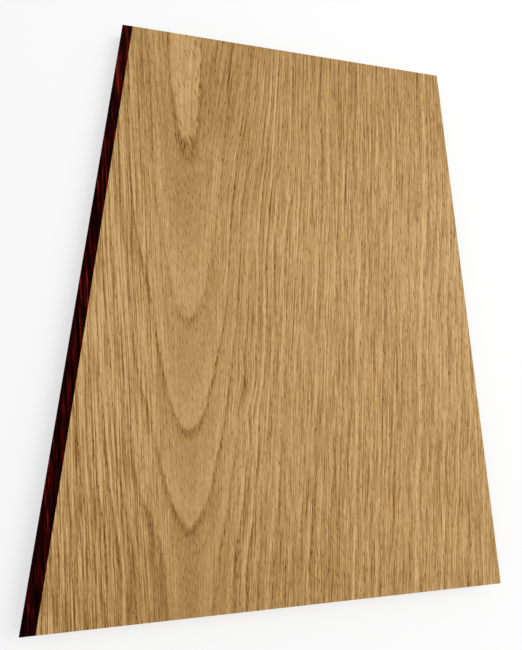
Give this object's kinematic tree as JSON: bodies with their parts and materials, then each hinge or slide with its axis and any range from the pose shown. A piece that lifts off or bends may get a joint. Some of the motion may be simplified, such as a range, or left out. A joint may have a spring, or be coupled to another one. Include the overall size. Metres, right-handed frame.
{
  "type": "decorative mdf wall panel",
  "caption": "Flat rectangular wall panel: MDF board with a crown-cut oak veneer face and a dark hardwood lipping flush along one long edge.",
  "frame": {"origin": "middle of the panel's back, on the surface it lies on", "axes": "+X across the panel, away from the lipping; +Y along the length and the grain; +Z out of the oak face"},
  "size_m": [0.412, 0.6, 0.0166],
  "materials": {
    "mdf": "raw, sanded",
    "oak": "clear satin lacquer",
    "dark_hardwood": "satin lacquer"
  },
  "bodies": {
    "root": {"mdf_board": "mdf", "oak_veneer": "oak", "hardwood_lipping": "dark_hardwood"}
  },
  "joints": []
}
